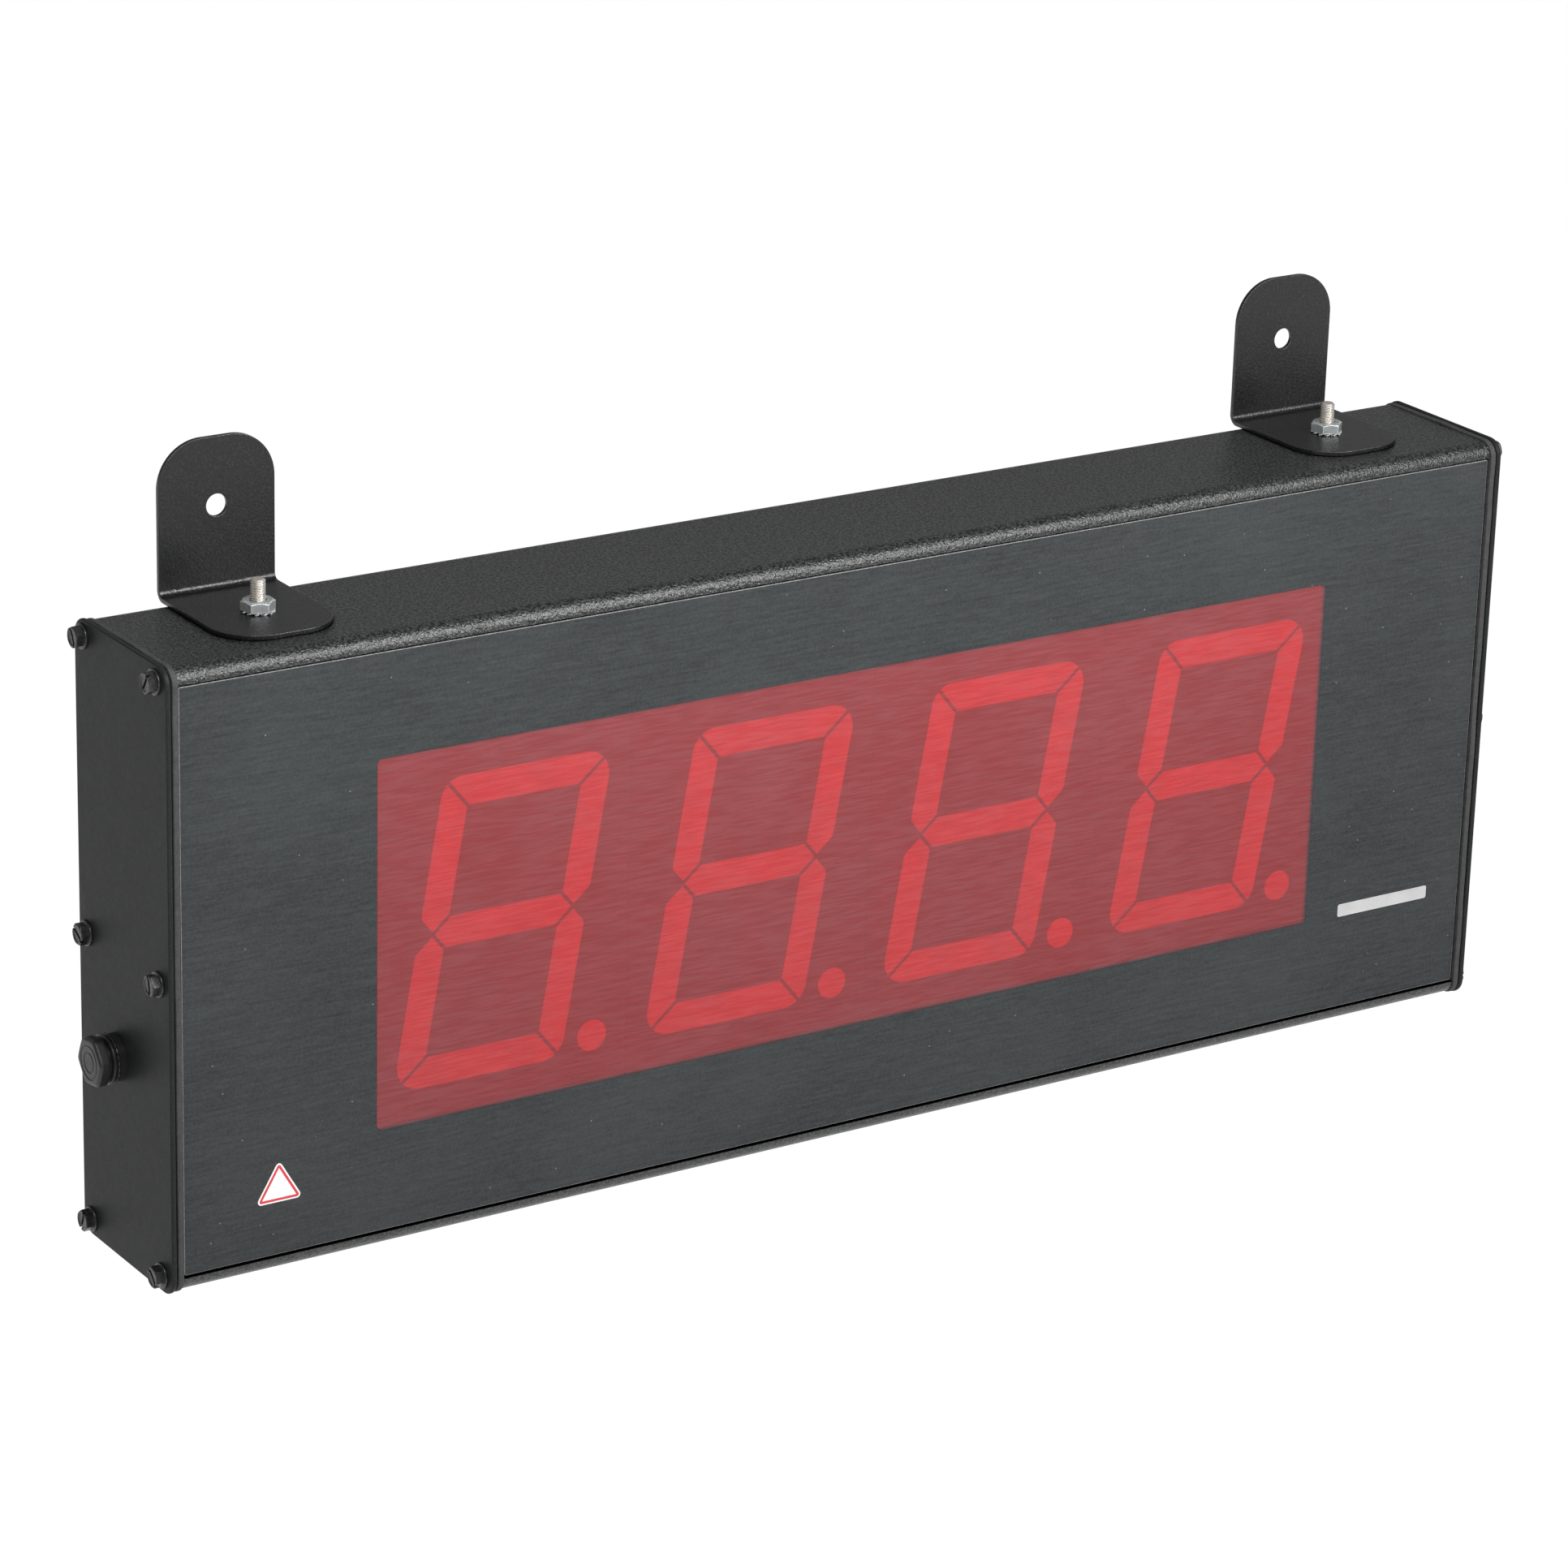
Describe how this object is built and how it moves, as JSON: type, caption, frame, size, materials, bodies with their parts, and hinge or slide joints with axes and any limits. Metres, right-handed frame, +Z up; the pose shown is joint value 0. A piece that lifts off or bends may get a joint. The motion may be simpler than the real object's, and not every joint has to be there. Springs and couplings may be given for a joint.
{
  "type": "large numeric LED process display",
  "caption": "Black metal wall-hung numeric display: a slim case with a red window over seven-segment LED digits, gasketed end plates and swivelling L-brackets on top.",
  "frame": {"origin": "midway between the centres of the two hanging holes, in the plane of the brackets' backs, which is the wall's face", "axes": "+X along the case to the right as seen from the front, +Y into the wall, +Z up"},
  "size_m": [0.5209, 0.0628, 0.2528],
  "materials": {
    "case_powder": "coarse textured black powder coat",
    "overlay_film": "matt dark grey film with a fine grain",
    "window_red": "red filter film, matt front",
    "plate_black": "satin black",
    "bracket_black": "satin black",
    "gasket_foam": "closed-cell foam, smooth",
    "screw_black": "black oxide",
    "stud_stainless": "bright rolled thread",
    "nut_zinc": "bright zinc plate",
    "seal_rubber": "smooth",
    "vent_nylon": "moulded black",
    "sticker_white": "printed film",
    "strip_silver": "silver film",
    "digit_face": "moulded, painted grey",
    "segment_white": "milky diffuser",
    "led_clear": "tinted epoxy",
    "board_green": "solder mask",
    "component_black": "moulded epoxy",
    "post_nickel": "nickel plate",
    "core_steel": "varnished laminations",
    "winding_tape": "polyester tape",
    "can_sleeve": "shrunk sleeve",
    "fuse_glass": "clear",
    "clip_tin": "tin plate",
    "sink_black": "black anodised",
    "terminal_green": "moulded nylon",
    "switch_blue": "moulded",
    "slider_white": "moulded",
    "header_grey": "moulded",
    "ribbon_grey": "extruded vinyl",
    "lead_green": "extruded vinyl"
  },
  "bodies": {
    "case": {"case_body": "case_powder", "front_overlay": "overlay_film", "red_window": "window_red", "end_plate_left": "plate_black", "end_plate_right": "plate_black", "end_gasket_left": "gasket_foam", "end_gasket_right": "gasket_foam", "end_screws_left": "screw_black", "end_screws_right": "screw_black", "mounting_studs": "stud_stainless", "stud_seal_washers": "seal_rubber", "keps_nuts": "nut_zinc", "tooth_washers": "nut_zinc", "vent_plug": "vent_nylon", "vent_seal": "seal_rubber", "vent_lock_nut": "vent_nylon", "triangle_sticker": "sticker_white", "name_strip": "strip_silver", "display_board": "board_green", "main_board": "board_green", "board_posts": "post_nickel", "board_screws": "post_nickel", "transformer_core": "core_steel", "transformer_winding": "winding_tape", "filter_capacitors": "can_sleeve", "fuse": "fuse_glass", "fuse_clips": "clip_tin", "rectifier_diodes": "component_black", "heat_sink": "sink_black", "regulator": "component_black", "processor": "component_black", "driver_chips": "component_black", "supply_terminals": "terminal_green", "signal_terminals": "terminal_green", "terminal_screws": "clip_tin", "setup_switch": "switch_blue", "ribbon_headers": "header_grey", "ribbon_cable": "ribbon_grey", "earth_stud": "clip_tin", "earth_nuts": "clip_tin", "earth_lead": "lead_green", "digit_housing_1": "digit_face", "digit_segments_1": "segment_white", "digit_leds_1": "led_clear", "digit_housing_2": "digit_face", "digit_segments_2": "segment_white", "digit_leds_2": "led_clear", "digit_housing_3": "digit_face", "digit_segments_3": "segment_white", "digit_leds_3": "led_clear", "digit_housing_4": "digit_face", "digit_segments_4": "segment_white", "digit_leds_4": "led_clear"},
    "bracket_left": {"bracket_left": "bracket_black"},
    "bracket_right": {"bracket_right": "bracket_black"},
    "switch_slider_1": {"switch_slider_1": "slider_white"},
    "switch_slider_2": {"switch_slider_2": "slider_white"},
    "switch_slider_3": {"switch_slider_3": "slider_white"},
    "switch_slider_4": {"switch_slider_4": "slider_white"}
  },
  "joints": [
    {"name": "bracket_left_swivel", "type": "hinge", "parent": "case", "child": "bracket_left", "pos_m": [-0.205, -0.028, -0.028], "axis": [0, 0, 1], "continuous": true},
    {"name": "bracket_right_swivel", "type": "hinge", "parent": "case", "child": "bracket_right", "pos_m": [0.205, -0.028, -0.028], "axis": [0, 0, 1], "continuous": true},
    {"name": "switch_slider_1_slide", "type": "slide", "parent": "case", "child": "switch_slider_1", "axis": [1, 0, 0], "range_m": [0, 0.0018]},
    {"name": "switch_slider_2_slide", "type": "slide", "parent": "case", "child": "switch_slider_2", "axis": [1, 0, 0], "range_m": [0, 0.0018]},
    {"name": "switch_slider_3_slide", "type": "slide", "parent": "case", "child": "switch_slider_3", "axis": [1, 0, 0], "range_m": [0, 0.0018]},
    {"name": "switch_slider_4_slide", "type": "slide", "parent": "case", "child": "switch_slider_4", "axis": [1, 0, 0], "range_m": [0, 0.0018]}
  ]
}
